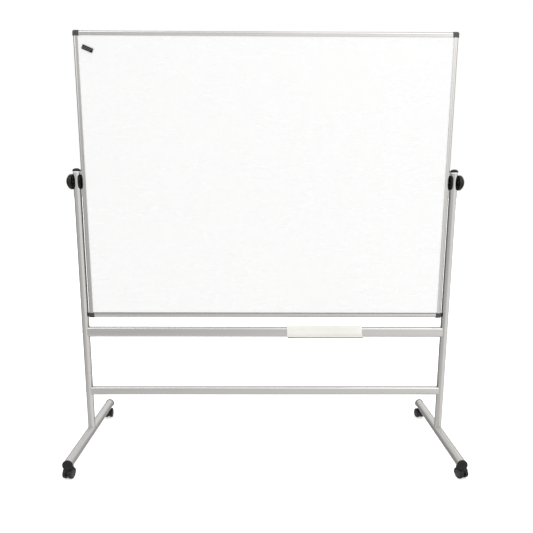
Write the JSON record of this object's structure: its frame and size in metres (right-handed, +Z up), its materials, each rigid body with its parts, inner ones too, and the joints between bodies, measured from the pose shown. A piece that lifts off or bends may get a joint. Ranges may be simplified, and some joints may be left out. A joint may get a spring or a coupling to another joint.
{
  "type": "rolling whiteboard",
  "caption": "Rolling whiteboard: framed double-sided board that turns between two posts on castored feet, with clamping knobs, cross rails and a sliding pen tray.",
  "frame": {"origin": "on the floor under the middle of the stand, halfway between the posts and halfway along the feet", "axes": "+X to the right as seen from the front, +Y from front to back, +Z up"},
  "size_m": [1.6218, 0.5787, 1.7257],
  "materials": {
    "satin_aluminium": "satin",
    "black_plastic": "fine grain",
    "black_gloss": "semi-gloss",
    "castor_nylon": "smooth",
    "white_enamel": "gloss enamel",
    "core_board": "raw",
    "ivory_coating": "semi-gloss",
    "steel_fittings": "zinc plated"
  },
  "bodies": {
    "stand": {"foot_bolt_left": "steel_fittings", "foot_bolt_right": "steel_fittings", "foot_cap_back_left": "black_plastic", "foot_cap_back_right": "black_plastic", "foot_cap_front_left": "black_plastic", "foot_cap_front_right": "black_plastic", "foot_tube_left": "satin_aluminium", "foot_tube_right": "satin_aluminium", "pivot_collar_left": "black_plastic", "pivot_collar_right": "black_plastic", "post_cap_left": "black_plastic", "post_cap_right": "black_plastic", "post_left": "satin_aluminium", "post_right": "satin_aluminium", "rail_bolt_lower_left": "steel_fittings", "rail_bolt_lower_right": "steel_fittings", "rail_bolt_upper_left": "steel_fittings", "rail_bolt_upper_right": "steel_fittings", "rail_lower": "satin_aluminium", "rail_upper": "satin_aluminium"},
    "board": {"bar_magnet": "black_gloss", "corner_cap_bottom_left": "black_plastic", "corner_cap_bottom_right": "black_plastic", "corner_cap_top_left": "black_plastic", "corner_cap_top_right": "black_plastic", "frame_bottom": "satin_aluminium", "frame_left": "satin_aluminium", "frame_right": "satin_aluminium", "frame_top": "satin_aluminium", "panel_core": "core_board", "pivot_bush_left": "black_plastic", "pivot_bush_right": "black_plastic", "writing_sheet_back": "white_enamel", "writing_sheet_front": "white_enamel"},
    "knob_left": {"knob_left": "black_gloss", "knob_stud_left": "steel_fittings"},
    "knob_right": {"knob_right": "black_gloss", "knob_stud_right": "steel_fittings"},
    "tray": {"pen_tray": "ivory_coating"},
    "castor_front_left": {"castor_hood_front_left": "black_plastic", "castor_stem_front_left": "steel_fittings", "castor_axle_front_left": "steel_fittings"},
    "wheel_a_front_left": {"castor_wheel_a_front_left": "castor_nylon"},
    "wheel_b_front_left": {"castor_wheel_b_front_left": "castor_nylon"},
    "castor_front_right": {"castor_hood_front_right": "black_plastic", "castor_stem_front_right": "steel_fittings", "castor_axle_front_right": "steel_fittings"},
    "wheel_a_front_right": {"castor_wheel_a_front_right": "castor_nylon"},
    "wheel_b_front_right": {"castor_wheel_b_front_right": "castor_nylon"},
    "castor_back_left": {"castor_hood_back_left": "black_plastic", "castor_stem_back_left": "steel_fittings", "castor_axle_back_left": "steel_fittings"},
    "wheel_a_back_left": {"castor_wheel_a_back_left": "castor_nylon"},
    "wheel_b_back_left": {"castor_wheel_b_back_left": "castor_nylon"},
    "castor_back_right": {"castor_hood_back_right": "black_plastic", "castor_stem_back_right": "steel_fittings", "castor_axle_back_right": "steel_fittings"},
    "wheel_a_back_right": {"castor_wheel_a_back_right": "castor_nylon"},
    "wheel_b_back_right": {"castor_wheel_b_back_right": "castor_nylon"}
  },
  "joints": [
    {"name": "board_turn", "type": "hinge", "parent": "stand", "child": "board", "pos_m": [0, 0.011, 1.147], "axis": [1, 0, 0], "continuous": true},
    {"name": "knob_left_turn", "type": "hinge", "parent": "stand", "child": "knob_left", "pos_m": [-0.769, 0.011, 1.147], "axis": [-1, 0, 0], "range_deg": [0, 720]},
    {"name": "knob_right_turn", "type": "hinge", "parent": "stand", "child": "knob_right", "pos_m": [0.769, 0.011, 1.147], "axis": [1, 0, 0], "range_deg": [0, 720]},
    {"name": "tray_slide", "type": "slide", "parent": "stand", "child": "tray", "axis": [1, 0, 0], "range_m": [-0.844, 0.34]},
    {"name": "swivel_front_left", "type": "hinge", "parent": "stand", "child": "castor_front_left", "pos_m": [-0.769, -0.2495, 0.044], "axis": [0, 0, 1], "continuous": true},
    {"name": "roll_a_front_left", "type": "hinge", "parent": "castor_front_left", "child": "wheel_a_front_left", "pos_m": [-0.77187, -0.26575, 0.0205], "axis": [0.9848, -0.1736, 0], "continuous": true},
    {"name": "roll_b_front_left", "type": "hinge", "parent": "castor_front_left", "child": "wheel_b_front_left", "pos_m": [-0.77187, -0.26575, 0.0205], "axis": [0.9848, -0.1736, 0], "continuous": true},
    {"name": "swivel_front_right", "type": "hinge", "parent": "stand", "child": "castor_front_right", "pos_m": [0.769, -0.2495, 0.044], "axis": [0, 0, 1], "continuous": true},
    {"name": "roll_a_front_right", "type": "hinge", "parent": "castor_front_right", "child": "wheel_a_front_right", "pos_m": [0.77464, -0.265, 0.0205], "axis": [0.9397, 0.342, 0], "continuous": true},
    {"name": "roll_b_front_right", "type": "hinge", "parent": "castor_front_right", "child": "wheel_b_front_right", "pos_m": [0.77464, -0.265, 0.0205], "axis": [0.9397, 0.342, 0], "continuous": true},
    {"name": "swivel_back_left", "type": "hinge", "parent": "stand", "child": "castor_back_left", "pos_m": [-0.769, 0.2495, 0.044], "axis": [0, 0, 1], "continuous": true},
    {"name": "roll_a_back_left", "type": "hinge", "parent": "castor_back_left", "child": "wheel_a_back_left", "pos_m": [-0.76986, 0.26598, 0.0205], "axis": [-0.9986, -0.0523, 0], "continuous": true},
    {"name": "roll_b_back_left", "type": "hinge", "parent": "castor_back_left", "child": "wheel_b_back_left", "pos_m": [-0.76986, 0.26598, 0.0205], "axis": [-0.9986, -0.0523, 0], "continuous": true},
    {"name": "swivel_back_right", "type": "hinge", "parent": "stand", "child": "castor_back_right", "pos_m": [0.769, 0.2495, 0.044], "axis": [0, 0, 1], "continuous": true},
    {"name": "roll_a_back_right", "type": "hinge", "parent": "castor_back_right", "child": "wheel_a_back_right", "pos_m": [0.76557, 0.26564, 0.0205], "axis": [-0.9781, -0.2079, 0], "continuous": true},
    {"name": "roll_b_back_right", "type": "hinge", "parent": "castor_back_right", "child": "wheel_b_back_right", "pos_m": [0.76557, 0.26564, 0.0205], "axis": [-0.9781, -0.2079, 0], "continuous": true}
  ]
}
